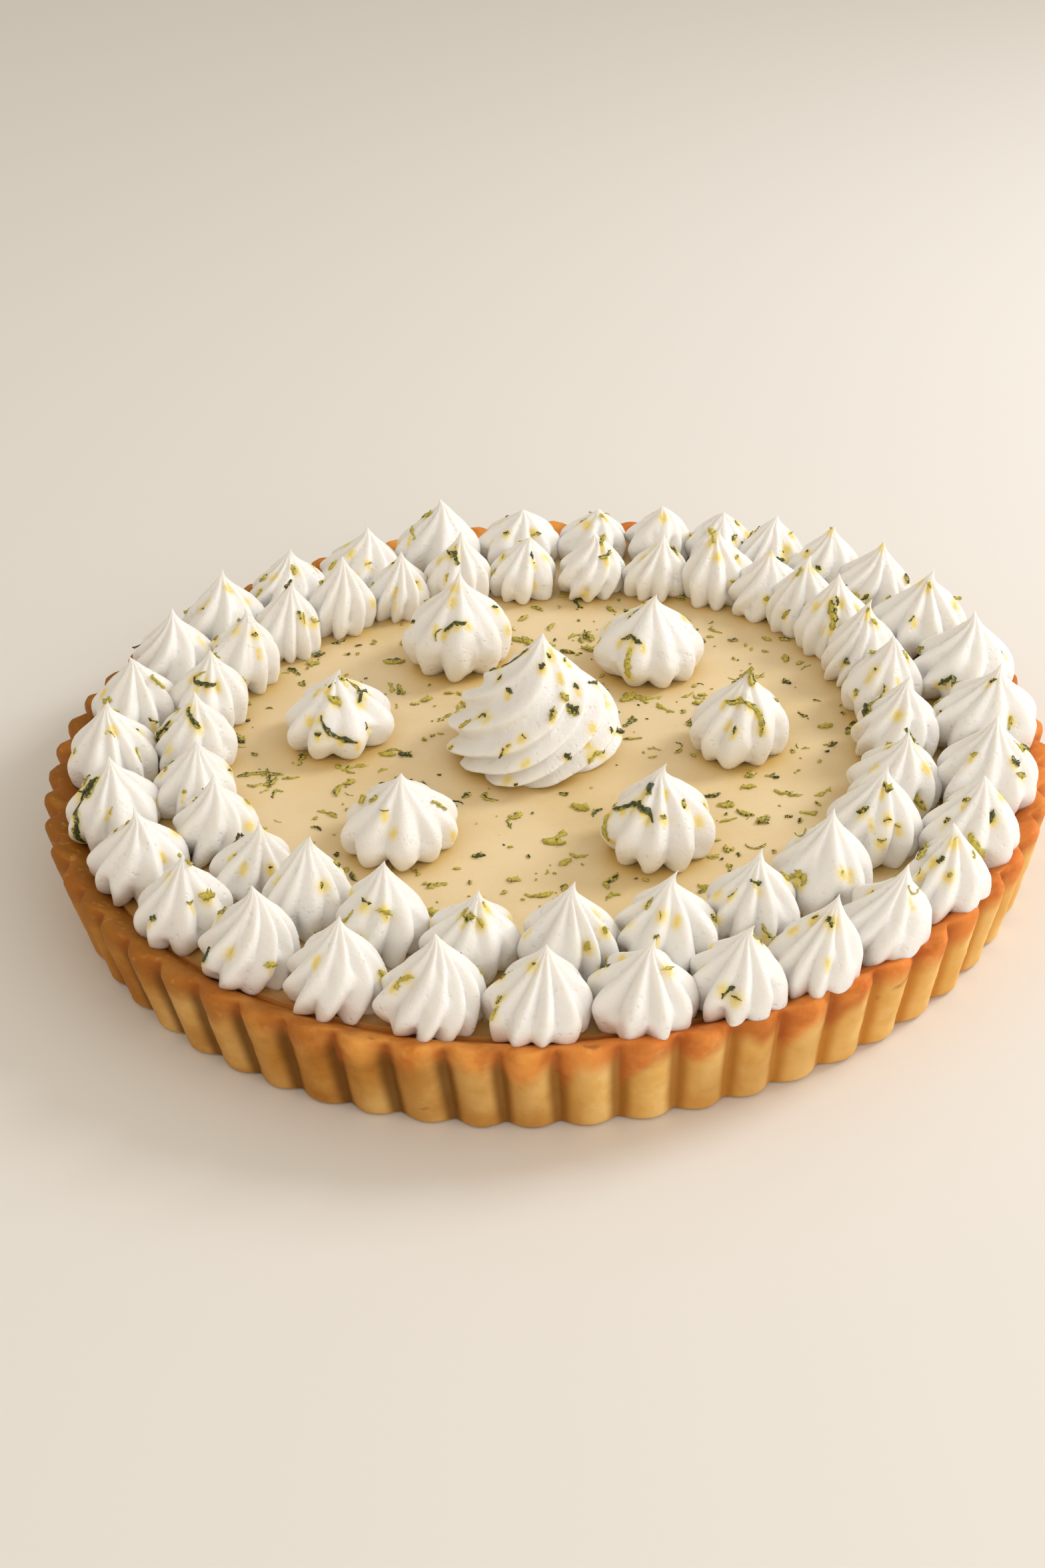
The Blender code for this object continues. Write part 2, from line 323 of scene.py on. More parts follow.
def pastry_material():
    """Baked pastry: pale gold on the wall, orange-brown along the rim, with darker spots and painted
    shade.
    """
    gold = (0.74, 0.43, 0.14)
    material, tree, place = new_material("baked pastry", gold, 0.6, gloss=0.2)
    baked = painted(tree, "baked")
    valley = painted(tree, "valley")
    flank = painted(tree, "flank")
    sunny = painted(tree, "sunny")
    mottle = noise_at(tree, place, 85, 4.0, 0.6)
    broad = noise_at(tree, place, 30, 2.0)
    fine = noise_at(tree, place, 420, 3.0, 0.6)
    patches = mottle.smooth(0.35, 0.68)
    pale = mixed(tree, patches, (0.94, 0.65, 0.25), (0.82, 0.48, 0.13))
    deep = mixed(tree, patches, (0.50, 0.22, 0.03), (0.37, 0.13, 0.012))
    # painted shade: the wall darkens from the lit right of the pie to its shaded left, with broad random
    # tone
    wall = mixed(tree, (sunny * 0.76 + 0.14 + (broad - 0.5) * 1.4).smooth(0.15, 0.85), deep, pale)
    lit = sunny.smooth(0.35, 0.8)
    # the left flank of each flute: partly browning, partly painted shade, dark brown on the shaded left of
    # the pie
    side = mixed(tree, lit, (0.42, 0.17, 0.015), (0.68, 0.32, 0.05))
    wall = mixed(tree, flank * (broad.smooth(0.3, 0.6) * 0.65 + 0.35), wall, side)
    # painted shade in the flute valleys, darkest on the shaded left of the pie
    valley_shade = mixed(tree, lit, (0.16, 0.06, 0.003), (0.55, 0.22, 0.026))
    wall = mixed(tree, valley.smooth(0.25, 0.72) * 0.85, wall, valley_shade)
    blotches = mottle.smooth(0.38, 0.66)
    golden = mixed(tree, blotches, (0.82, 0.37, 0.075), (0.58, 0.18, 0.022))
    ruddy = mixed(tree, blotches, (0.78, 0.25, 0.045), (0.56, 0.13, 0.018))
    toasted = mixed(tree, (sunny + (broad - 0.5)).smooth(0.3, 0.8), golden, ruddy)
    # painted shade: the rim is much darker brown on the shaded left of the pie
    toasted = mixed(tree, sunny.smooth(0.05, 0.4), (0.31, 0.115, 0.009), toasted)
    toasted = mixed(tree, fine.smooth(0.55, 0.75) * 0.35, toasted, (0.84, 0.44, 0.13))
    # painted shade in the flute valleys along the rim
    toasted = mixed(tree, (valley * 1.2).clamped() ** 1.4 * 0.75, toasted, (0.36, 0.09, 0.014))
    browned = noise_at(tree, place, 60, 2.0).smooth(0.50, 0.64)
    toasted = mixed(tree, browned * 0.5, toasted, (0.38, 0.12, 0.012))
    colour = mixed(tree, baked, wall, toasted)
    spots = noise_at(tree, place, 130, 2.0).smooth(0.69, 0.76)
    colour = mixed(tree, spots * 0.6, colour, (0.30, 0.09, 0.02))
    coat(tree, colour, mottle * 0.55 + fine * 0.45, 0.45 * MM)
    return material


def zest_material():
    """Lime zest: dark green where the rind was, yellow below it."""
    material, tree, place = new_material("lime zest", (0.25, 0.27, 0.04), 0.42)
    rind = painted(tree, "rind")
    tone = painted(tree, "tone")
    mottle = noise_at(tree, place, 1400, 3.0, 0.6)
    patches = mottle.smooth(0.35, 0.65)
    pith = mixed(tree, patches, (0.62, 0.50, 0.07), (0.38, 0.34, 0.04))
    skin = mixed(tree, patches, (0.085, 0.10, 0.02), (0.015, 0.025, 0.008))
    share = (rind * 0.8 + (mottle - 0.5) * 1.3 + tone * 0.65).smooth(0.72, 1.0)
    coat(tree, mixed(tree, share, pith, skin), mottle, 0.15 * MM)
    return material


# Kisses -----------------------

RIDGES = 9
KISS_SINK = 0.6 * MM  # a kiss sinks this far into the custard
FOOT_CAP = 0.14  # share of the ball that becomes the flat underside
BLUNT_HEIGHT = 19.5 * MM  # lower kisses end in a blunt tip
PRESS_SOFTNESS = 1.4 * MM
MAX_GAP = 4 * MM  # kisses nearer than this run together
RUN_TOGETHER = 0.6 * MM
OVERHANG_RADIUS = 128.2 * MM  # no kiss reaches further out over the rim
REST_SOFTNESS = 1.2 * MM
RING_GROWTH = 0.98
RING_RISE = 1.05
RIM_SEAT_RADIUS = 126.6 * MM  # the outer ring is piped right against the rim
POLE_TRIANGLES = 10  # a foot or tip point of a solid belongs to at least this many
LEAST_TIP = 8 * MM  # and a tip lies this far above the foot
BELT = (0.2, 0.5)  # share of the height where a solid is widest
RADIUS_PERCENTILE = 78  # of its points there: between grooves and ridges
OUTER_REACH = 118 * MM  # a kiss that reaches past this is in the outer ring
MOST_OUTWARD = 1.4 * MM  # one that stops short of the rim moves this far at most
OVER_SHIFT = 0.6  # one that hangs over it moves in and shrinks by these shares
OVER_SHRINK = 0.3
LEFT_SHIFT = 1.3 * MM  # and on the left side they all do, by these lengths
LEFT_SHRINK = 1.1 * MM

KISS_COUNTS = ("Segments", "Rows")
KISS_PLACES = ("Centre", "Lean", "Hook")
KISS_SIZES = (
    "Radius", "Height", "Widest level", "Shoulder", "Foot width", "Ridges", "Groove", "Skew",
    "Unevenness", "Toes", "Ridge azimuth", "Twist", "Foot twist", "Seed",
)


@dataclass
class Style:
    """How one kind of kiss is piped."""

    segments: int  # points across one ridge
    rows: int
    foot_width: float
    groove: float
    unevenness: float
    skew: float
    foot_twist: float  # degrees


STYLES = {
    "ring": Style(14, 46, 0.86, 0.235, 0.8, 0.0, 0),
    "middle": Style(18, 64, 0.80, 0.20, 0.8, 0.0, 0),
    "swirl": Style(32, 130, 0.80, 0.165, 0.15, 0.4, 150),
}


def kiss_tree(material):
    """A ball whose lower cap is a flat foot, drawn up into ridges that meet in a tip."""
    inputs = {"Int": KISS_COUNTS, "Vector": KISS_PLACES, "Float": KISS_SIZES}
    tree, size = geometry_tree("piped kiss", inputs)
    ball = add(tree, "GeometryNodeMeshUVSphere", {"Segments": size["Segments"], "Rings": size["Rows"]})
    x, y, z = axes_of(tree, add(tree, "GeometryNodeInputPosition").outputs[0])
    turn = y.math("ARCTAN2", x)
    climb = (z * -1.0).math("ARCCOSINE") / math.pi
    level = ((climb - FOOT_CAP) / (1.0 - FOOT_CAP)).clamped()
    under = (climb / FOOT_CAP).clamped()
    seed = size["Seed"]
    widest = size["Widest level"]

    # Ridges of uneven width that wind down from the tip, steepest near it
    wound = (1.0 - level) ** 1.8 * size["Foot twist"] + (0.35 - level) * size["Twist"]
    along = turn - size["Ridge azimuth"] + wound
    sway = (along + seed).math("SINE") * 0.15 + (along * 2.0 + seed * 1.7).math("SINE") * 0.09
    phase = (along + sway) * size["Ridges"]
    phase = phase + phase.math("SINE") * size["Skew"]
    soft = 0.5 - phase.math("COSINE") * 0.5
    creased = 1.0 - (phase * 0.5).math("COSINE").math("ABSOLUTE")
    blend = 0.5 - level * 0.4
    groove = soft * (1.0 - blend) + creased * blend
    toes = (1.0 - level / 0.32).clamped() ** 2.0 * size["Toes"]
    around = vector_of(tree, turn.math("COSINE") * 0.9 + seed * 3.1, turn.math("SINE") * 0.9, level * 1.3)
    fading = noise_at(tree, around, 1.7, 1.0).smooth(0.34, 0.62) * 0.85 - 0.6
    depth = size["Groove"] * (1.0 + fading * size["Unevenness"]) * (1.0 + toes * 0.7 + level * 0.1)

    # The outline from foot to tip
    lower = ((widest - level) / widest).clamped()
    rise = ((level - widest) / (1.0 - widest)).clamped()
    upper = (rise * (math.pi / 2)).math("COSINE").math("MAXIMUM", 0.0) ** size["Shoulder"]
    upper = upper * 0.9 + (1.0 - rise).clamped() ** 0.6 * 0.1
    heel = (1.0 - level / 0.07).clamped() ** 2.0
    width = (1.0 - lower ** 2.0 * (1.0 - size["Foot width"])) * upper * (1.0 - heel * 0.13)
    uneven = (noise_at(tree, around, 1.0, 1.0) - 0.5) * 0.30
    dabs = (noise_at(tree, around, 5.5, 2.0) - 0.5) * 0.045
    radius = size["Radius"] * width * (1.0 - depth * groove) * (1.0 + uneven + dabs) * under
    arch = toes * groove * under * 0.06
    height = size["Height"] * (level + arch)

    lean_x, lean_y = axes_of(tree, size["Lean"])[:2]
    hook_x, hook_y, hook_z = axes_of(tree, size["Hook"])
    bend = rise ** 1.35
    curl = ((level - 0.84) / 0.16).clamped() ** 1.6
    flat_x = radius * turn.math("COSINE") + lean_x * bend + hook_x * curl
    flat_y = radius * turn.math("SINE") + lean_y * bend + hook_y * curl
    offset = vector_of(tree, flat_x, flat_y, height + hook_z * curl)
    place = add(tree, "ShaderNodeVectorMath", {0: size["Centre"], 1: offset}, operation="ADD").outputs[0]
    shaped = add(tree, "GeometryNodeSetPosition", {"Geometry": ball.outputs["Mesh"], "Position": place})
    return finish_tree(tree, shaped.outputs[0], material)


@dataclass
class Kiss:
    """One kiss as its solid has it, in metres and radians."""

    node: str
    centre: Vector
    tip: Vector
    radius: float
    ridge_azimuth: float


def solid_of(node):
    """The merged points of a solid, and how many triangles each belongs to."""
    mesh = frame["nodes"][node].data
    points = np.array([vertex.co for vertex in mesh.vertices])
    corners = np.array([tuple(face.vertices) for face in mesh.polygons])
    merged, index = np.unique(np.round(points, 6), axis=0, return_inverse=True)
    counts = np.bincount(index.reshape(-1)[corners].reshape(-1), minlength=len(merged))
    return merged, counts


def measure(node):
    """The kisses that one solid holds: one, or two that have run together."""
    points, counts = solid_of(node)
    foot = points[:, 2].min()
    many = 2 if "kisses" in node else 1
    on_foot = points[:, 2] < foot + 0.01 * MM
    order = np.argsort(-counts * on_foot)
    centres = [Vector(points[i]) for i in order[:many]]
    peaks = points[(points[:, 2] > foot + LEAST_TIP) & (counts >= POLE_TRIANGLES)]
    kisses = []
    for centre in centres:
        away = np.hypot(peaks[:, 0] - centre.x, peaks[:, 1] - centre.y)
        tip = Vector(peaks[np.argmin(away)])
        rise = (points[:, 2] - foot) / (tip.z - foot)
        own = [points[:, :2] - np.array(other[:2]) for other in centres]
        nearest = np.argmin([np.hypot(*flat.T) for flat in own], axis=0) == centres.index(centre)
        belt = points[nearest & (rise > BELT[0]) & (rise < BELT[1])][:, :2] - np.array(centre[:2])
        reach = np.hypot(*belt.T)
        azimuth = np.arctan2(belt[:, 1], belt[:, 0])
        phase = np.angle(np.sum((reach - reach.mean()) * np.exp(1j * RIDGES * azimuth))) / RIDGES
        radius = float(np.percentile(reach, RADIUS_PERCENTILE))
        if not node.startswith(("middle", "centre")):
            radius *= RING_GROWTH
        kisses.append(seated(Kiss(node, centre, tip, radius, float(phase))))
    return kisses


def seated(kiss):
    """An outer kiss stands against the rim, not past its edge, and further in on the left."""
    flat = kiss.centre.to_2d()
    reach = flat.length + kiss.radius
    if reach > OUTER_REACH:
        left = max(0.0, -flat.normalized().x)
        over = max(0.0, reach - OVERHANG_RADIUS)
        short = min(max(0.0, RIM_SEAT_RADIUS - reach), MOST_OUTWARD) * (1.0 - left)
        kiss.centre -= (flat.normalized() * (over * OVER_SHIFT - short + left * LEFT_SHIFT)).to_3d()
        kiss.radius -= over * OVER_SHRINK + left * LEFT_SHRINK
    return kiss


def press(points, kiss, kisses):
    """Runs a kiss together with its neighbours: it spreads up to them and flattens against them."""
    for other in kisses:
        towards = Vector((other.centre - kiss.centre).to_2d())
        distance = towards.length
        if other is kiss or distance > kiss.radius + other.radius + MAX_GAP:
            continue
        towards = np.array(towards.normalized())
        meet = distance * kiss.radius / (kiss.radius + other.radius)
        reach = (points[:, :2] - np.array(kiss.centre[:2])) @ towards
        stretch = max(0.0, meet + RUN_TOGETHER - kiss.radius)
        share = np.clip(reach / kiss.radius, 0.0, 1.0) ** 2
        over = np.maximum(reach + share * stretch - meet - RUN_TOGETHER, 0.0)
        kept = PRESS_SOFTNESS * (1.0 - np.exp(-over / PRESS_SOFTNESS))
        points[:, :2] += np.outer(share * stretch - (over - kept), towards)
    return points


def rest_on_rim(points):
    """Lets a kiss lie on the slope and the top of the rim, a little short of its edge."""
    reach = np.hypot(points[:, 0], points[:, 1])
    over = np.maximum(reach - OVERHANG_RADIUS + REST_SOFTNESS, 0.0)
    kept = REST_SOFTNESS * (1.0 - np.exp(-over / REST_SOFTNESS))
    points[:, :2] *= ((reach - over + kept) / np.maximum(reach, MM))[:, None]
    under = rim_surface(np.hypot(points[:, 0], points[:, 1])) - 0.2 * MM
    gap = (points[:, 2] - under) / REST_SOFTNESS
    lifted = under + REST_SOFTNESS * np.logaddexp(0.0, gap * 2.0) / 2.0
    beyond = under > FLOOR_THICKNESS
    points[:, 2] = np.where(beyond, lifted, points[:, 2])
    return points


def mesh_points(obj):
    points = np.empty(len(obj.data.vertices) * 3, np.float32)
    obj.data.vertices.foreach_get("co", points)
    return points.reshape(-1, 3).astype(float)


def set_mesh_points(obj, points):
    obj.data.vertices.foreach_set("co", points.astype(np.float32).reshape(-1))
    obj.data.update()


def kiss_sizes(kiss, foot, chance):
    """What the kiss tree needs to know about one kiss."""
    swirl = kiss.node == "centre_swirl"
    middle = kiss.node.startswith("middle")
    style = STYLES["swirl" if swirl else "middle" if middle else "ring"]
    height = kiss.tip.z - foot
    if not swirl and not middle:
        height *= RING_RISE
    blunt = not swirl and height < BLUNT_HEIGHT
    hook = polar(chance.uniform(0.2, 1.9) * MM, chance.uniform(0, 360))
    lean = kiss.tip - kiss.centre
    twist = chance.uniform(5, 40) if middle or chance.random() < 0.6 else chance.uniform(40, 85)
    plump = chance.uniform(-1, 1)
    ridges = RIDGES if middle else 8 if swirl else 8 + (plump > -0.3)
    return {
        "Segments": RIDGES * style.segments,
        "Rows": style.rows,
        "Centre": (kiss.centre.x, kiss.centre.y, foot),
        "Radius": kiss.radius,
        "Height": height,
        "Widest level": 0.15 if swirl else 0.30 - 0.03 * plump,
        "Shoulder": 1.35 if swirl else 1.2 if blunt else 1.75 - 0.2 * plump,
        "Foot width": style.foot_width,
        "Ridges": float(ridges),
        "Groove": style.groove,
        "Unevenness": style.unevenness,
        "Skew": style.skew,
        "Toes": 0.0 if swirl else chance.uniform(0.5, 1.0),
        "Ridge azimuth": kiss.ridge_azimuth,
        "Twist": math.radians(60 if swirl else twist),
        "Foot twist": math.radians(style.foot_twist),
        "Lean": (lean.x - hook.x, lean.y - hook.y, 0.0),
        "Hook": (hook.x, hook.y, 0.0),
        "Seed": chance.uniform(0, 50),
    }


def pipe(kiss, kisses, tree, chance, custard_top):
    """The looks of one kiss."""
    obj = grown(kiss.node + "_piped", tree, kiss_sizes(kiss, custard_top - KISS_SINK, chance))
    points = press(mesh_points(obj), kiss, kisses)
    set_mesh_points(obj, rest_on_rim(points))
    return obj


def polar(radius, azimuth):
    turn = math.radians(azimuth)
    return Vector((radius * math.cos(turn), radius * math.sin(turn)))


def joined(objects):
    """One mesh object out of several."""
    first = objects[0]
    if len(objects) > 1:
        with bpy.context.temp_override(active_object=first, selected_editable_objects=objects):
            bpy.ops.object.join()
    return first


def pipe_kisses(material, custard_top):
    chance = random.Random(SEED)
    tree = kiss_tree(material)
    names = [name for name in sorted(frame["nodes"]) if name not in ("crust", "custard")]
    by_node = {name: measure(name) for name in names}
    kisses = [kiss for found in by_node.values() for kiss in found]
    pieces = []
    for name, found in by_node.items():
        piece = joined([pipe(kiss, kisses, tree, chance, custard_top) for kiss in found])
        dress(piece, "meringue", name)
        pieces.append(piece)
    return pieces, kisses


# Crust ------------------------

FLUTES = 64
FLUTE_POINTS = 20  # points across one flute
FLOOR_THICKNESS = 4.5 * MM
WALL_FOOT_RADIUS = 117 * MM
WALL_MOUTH_RADIUS = 118.4 * MM
RIM_SLOPE_WIDTH = 8.8 * MM  # the inner slope of the rim, measured across
RIM_SLOPE_HEIGHT = 4.4 * MM
RIM_ROUNDING = 2.0 * MM
BASE_ROUNDING = 1.4 * MM

CRUST_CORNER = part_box("crust")[1]
RIM_RADIUS = CRUST_CORNER[0] - 0.3 * MM
CRUST_HEIGHT = CRUST_CORNER[2] - 0.9 * MM
BASE_RADIUS = RIM_RADIUS - 4.4 * MM
CRUST_SIZES = {
    "Flutes": float(FLUTES),
    "Depth at rim": 3.7 * MM,
    "Depth at base": 2.9 * MM,
    "Base radius": BASE_RADIUS,
    "Rim radius": RIM_RADIUS,
    "Height": CRUST_HEIGHT,
}


def wall_inside(height):
    """The inside radius of the crust's wall at a height below the rim."""
    top = CRUST_HEIGHT - RIM_SLOPE_HEIGHT
    share = (height - FLOOR_THICKNESS) / (top - FLOOR_THICKNESS)
    return WALL_FOOT_RADIUS + (WALL_MOUTH_RADIUS - WALL_FOOT_RADIUS) * min(share, 1.0)


def rim_surface(reach):
    """How high the crust stands at each distance from the middle, 0 inside the wall."""
    share = np.clip((reach - WALL_MOUTH_RADIUS) / RIM_SLOPE_WIDTH, 0.0, 1.0)
    slope = CRUST_HEIGHT - RIM_SLOPE_HEIGHT * (1.0 - np.sin(share * math.pi / 2) ** 1.2)
    return np.where(reach < WALL_MOUTH_RADIUS, 0.0, slope)


def arc(centre_radius, centre_height, radius, start, end, steps):
    """Points of a round arc in the profile, with angles in degrees."""
    turns = [math.radians(start + (end - start) * i / steps) for i in range(steps + 1)]
    return [(centre_radius + radius * math.cos(t), centre_height + radius * math.sin(t)) for t in turns]


def line(first, last, steps):
    return [tuple(a + (b - a) * i / steps for a, b in zip(first, last)) for i in range(1, steps)]


def crust_profile():
    """The crust's section from the middle of its floor over the rim to the underside."""
    slope_steps = 14
    slope = []
    for step in range(slope_steps + 1):
        reach = WALL_MOUTH_RADIUS + RIM_SLOPE_WIDTH * step / slope_steps
        slope.append((reach, float(rim_surface(np.array(reach)))))
    shoulder = arc(RIM_RADIUS - RIM_ROUNDING, CRUST_HEIGHT - RIM_ROUNDING, RIM_ROUNDING, 80, 0, 5)
    heel = arc(BASE_RADIUS - BASE_ROUNDING, BASE_ROUNDING, BASE_ROUNDING, 0, -90, 4)
    floor = [(0.0, FLOOR_THICKNESS), (WALL_FOOT_RADIUS, FLOOR_THICKNESS)]
    wall = line(shoulder[-1], heel[0], 26)
    under = [(WALL_FOOT_RADIUS * 0.8, 0.0), (0.0, 0.0)]
    return floor + line(floor[-1], slope[0], 3) + slope + shoulder + wall + heel + under


def crust_tree(material):
    """Presses the flutes of the tin into a turned crust and roughens it like pastry."""
    tree, size = geometry_tree("fluted crust", {"Float": CRUST_SIZES})
    place = add(tree, "GeometryNodeInputPosition").outputs[0]
    x, y, z = axes_of(tree, place)
    flat = vector_of(tree, x, y, 0.0)
    turn = y.math("ARCTAN2", x)
    reach = (x * x + y * y).math("SQRT")
    level = z / size["Height"]
    outside = size["Base radius"] + (size["Rim radius"] - size["Base radius"]) * level
    skin = ((reach - outside) / (5.0 * MM) + 1.0).clamped() ** 1.5
    wander = noise_at(tree, flat, 26, 2.0)
    phase = (turn + (wander - 0.5) * 0.035) * (size["Flutes"] / 2.0)
    lobe = phase.math("SINE").math("ABSOLUTE") ** 0.92
    across = (phase / math.pi).math("FRACT")
    valley = (1.0 - lobe) * skin
    depth = size["Depth at base"] + (size["Depth at rim"] - size["Depth at base"]) * level
    dough = (noise_at(tree, place, 70, 3.0) - 0.5) * (1.7 * MM)
    crumb = (noise_at(tree, place, 330, 2.0, 0.6) - 0.5) * (0.5 * MM)
    rim = level.smooth(0.80, 0.98)
    press_in = valley * depth
    rough = (dough * 0.55 + crumb) * skin - 0.35 * MM * skin
    new_reach = reach - press_in + rough
    ratio = new_reach / reach.math("MAXIMUM", MM)
    wave = (noise_at(tree, flat, 34, 2.0) - 0.5) * (2.0 * MM)
    lift = rim * (wave + crumb * 1.6 + dough * 0.4 + (lobe - 0.6) * skin * (2.2 * MM))
    moved = vector_of(tree, x * ratio, y * ratio, z + lift)
    # painted light: 0 on the shaded left of the crust, 1 on its lit right; the pastry is painted darker
    # towards the left
    sunny = x / size["Rim radius"] * 0.5 + 0.5
    patch = (1.0 - across).clamped() * noise_at(tree, flat, 90, 1.0).smooth(0.35, 0.65)
    band = (level + patch * 0.34).smooth(0.70, 0.97) + (wander - 0.5) * 0.4 - (1.0 - sunny) * 0.08
    inner = 1.0 - ((reach - outside) / (6.0 * MM) + 1.0).clamped()
    baked = (band + inner * level.smooth(0.3, 0.5)).clamped()
    # the left flank of each flute, where the pastry gets browning and painted shade
    flank = (1.0 - across) ** 1.8 * skin
    # valley also marks where the pastry's colour gets painted shade in the flute valleys
    named = size["Geometry"]
    for name, value in (("valley", valley), ("flank", flank), ("baked", baked), ("sunny", sunny)):
        inputs = {"Geometry": named, "Name": name, "Value": value}
        named = add(tree, "GeometryNodeStoreNamedAttribute", inputs, data_type="FLOAT").outputs[0]
    shaped = add(tree, "GeometryNodeSetPosition", {"Geometry": named, "Position": moved})
    return finish_tree(tree, shaped.outputs[0], material)


def build_crust(material):
    outline = bpy.data.meshes.new("crust outline")
    profile = crust_profile()
    points = [(radius, 0.0, height) for radius, height in profile]
    outline.from_pydata(points, [(i, i + 1) for i in range(len(points) - 1)], [])
    obj = placed("crust_baked", outline)
    screw = obj.modifiers.new("Turn", "SCREW")
    screw.steps = FLUTES * FLUTE_POINTS
    screw.render_steps = screw.steps
    screw.use_merge_vertices = True
    screw.merge_threshold = 0.02 * MM
    crust = grown("crust_baked", crust_tree(material), CRUST_SIZES, obj)
    dress(crust, "pastry", "crust")
    return crust


# Custard ----------------------

CUSTARD_RINGS = 110
CUSTARD_SEGMENTS = 288
EDGE_RISE = 0.8 * MM  # the custard climbs this much where it meets the wall
KISS_RISE = 0.25 * MM  # and this much beside a kiss
SWELL = 0.35 * MM  # its slow waves


def close_below(shape, height):
    """A wall down from the edge of a disc to a flat bottom, its faces always in one order."""
    rim = [edge.verts[:] for edge in shape.edges if edge.is_boundary]
    below = {first: shape.verts.new((first.co.x, first.co.y, height)) for first, _ in rim}
    for first, second in rim:
        shape.faces.new((first, second, below[second], below[first]))
    shape.faces.new([below[rim[-number][0]] for number in range(len(rim))])


def build_custard(material, top, kisses):
    """A disc of custard, gently uneven, raised round each kiss and along the wall."""
    reach = wall_inside(top) + 0.8 * MM
    shape = bmesh.new()
    bmesh.ops.create_circle(shape, cap_ends=True, cap_tris=True, segments=CUSTARD_SEGMENTS, radius=reach)
    inner = [edge for edge in shape.edges if not edge.is_boundary]
    bmesh.ops.subdivide_edges(shape, edges=inner, cuts=CUSTARD_RINGS)
    bmesh.ops.triangulate(shape, faces=shape.faces[:])
    centres = KDTree(len(kisses))
    for number, kiss in enumerate(kisses):
        centres.insert((kiss.centre.x, kiss.centre.y, 0.0), number)
    centres.balance()
    edge = []
    shadow = []
    for vertex in shape.verts:
        flat = vertex.co.copy()
        inward = reach - flat.length
        climb = max(0.0, 1 - inward / (3 * MM)) ** 2
        number, distance = centres.find((flat.x, flat.y, 0.0))[1:]
        beside = math.exp(-((distance - kisses[number].radius * 0.8) / (1.6 * MM)) ** 2)
        vertex.co.z = top + EDGE_RISE * climb + KISS_RISE * beside
        vertex.co.z += SWELL * math.sin(flat.x * 47 + 1) * math.sin(flat.y * 39 + 2)
        # browner within 7 mm of the wall: partly browned filling, partly painted shade, stored as edge
        edge.append(max(0.0, 1 - inward / (7 * MM)))
        # painted contact shadow round each kiss, stored as beside
        shadow.append(math.exp(-max(0.0, distance - kisses[number].radius * 0.85) / (2.6 * MM)))
    close_below(shape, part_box("custard")[0][2])
    bmesh.ops.recalc_face_normals(shape, faces=shape.faces[:])
    mesh = mesh_from(shape, "custard_set")
    mesh.materials.append(material)
    for title, values in (("edge", edge), ("beside", shadow)):
        layer = mesh.attributes.new(title, "FLOAT", "POINT")
        for number, value in enumerate(values):
            layer.data[number].value = value
    mesh.shade_smooth()
    mesh.set_sharp_from_angle(angle=math.radians(50))
    piece = placed("custard_set", mesh)
    dress(piece, "custard", "custard")
    return piece


# Zest -------------------------

SHRED_STATIONS = 10
SHRED_SIDES = 6
SHREDS = range(0, 9)  # kinds: torn strips, thin threads and crumbs
THREADS = range(9, 12)
CRUMBS = range(12, 15)
ZEST_REACH = 93 * MM  # zest lies on the custard inside the rings of kisses
STAIN_REACH = 3.2 * MM
BARE_TIP = 2.5 * MM  # no zest lies this near the top of the pie
CUSTARD_SHREDS = 620  # drawn, before those that would lie under a kiss are dropped
CUSTARD_CRUMBS = 420
SWIRL_ZEST = 38
MIDDLE_ZEST = 6  # on each kiss
RING_ZEST = 5
ON_POINTS = {"upright": "FLOAT_VECTOR", "turn": "FLOAT", "size": "FLOAT", "kind": "INT", "tone": "FLOAT"}


def ribbon(name, stations, chance, home):
    """A closed ragged strip through stations of (place, side, up, half width, half height)."""
    shape = bmesh.new()
    rind = shape.verts.layers.float.new("rind")
    rings = []
    for place, side, up, half, tall in stations:
        ring = []
        for number in range(SHRED_SIDES):
            turn = math.tau * number / SHRED_SIDES
            ragged = half * math.cos(turn) * chance.uniform(0.55, 1.4)
            vertex = shape.verts.new(place + side * ragged + up * tall * math.sin(turn))
            vertex[rind] = 0.5 + 0.5 * math.cos(turn - 0.7) * chance.uniform(0.7, 1.0)
            ring.append(vertex)
        rings.append(ring)
    for first, second in zip(rings, rings[1:]):
        for number in range(SHRED_SIDES):
            after = (number + 1) % SHRED_SIDES
            shape.faces.new((first[number], first[after], second[after], second[number]))
    shape.faces.new(rings[0])
    shape.faces.new(rings[-1])
    bmesh.ops.recalc_face_normals(shape, faces=shape.faces[:])
    obj = bpy.data.objects.new(name, mesh_from(shape, name))
    home.objects.link(obj)
    return obj


def shred(name, length, width, thickness, curl, chance, home):
    """One torn strip of zest, lying along X, with a dark and a yellow side."""
    stations = []
    heading, place = 0.0, Vector((-length / 2, 0.0, 0.0))
    step = length / (SHRED_STATIONS - 1)
    for station in range(SHRED_STATIONS):
        share = station / (SHRED_STATIONS - 1)
        thin = 1.0 - 0.75 * abs(2 * share - 1) ** 3
        half = width / 2 * thin * chance.uniform(0.45, 1.35)
        tall = thickness / 2 * chance.uniform(0.6, 1.4)
        side = Vector((-math.sin(heading), math.cos(heading), chance.uniform(-0.35, 0.35)))
        stations.append((place, side, Vector((0.0, 0.0, 1.0)), half, tall))
        heading += curl / SHRED_STATIONS * chance.uniform(0.2, 1.8)
        rise = Vector((0.0, 0.0, chance.uniform(-0.28, 0.34) * step))
        place = place + Vector((math.cos(heading), math.sin(heading), 0.0)) * step + rise
    return ribbon(name, stations, chance, home)


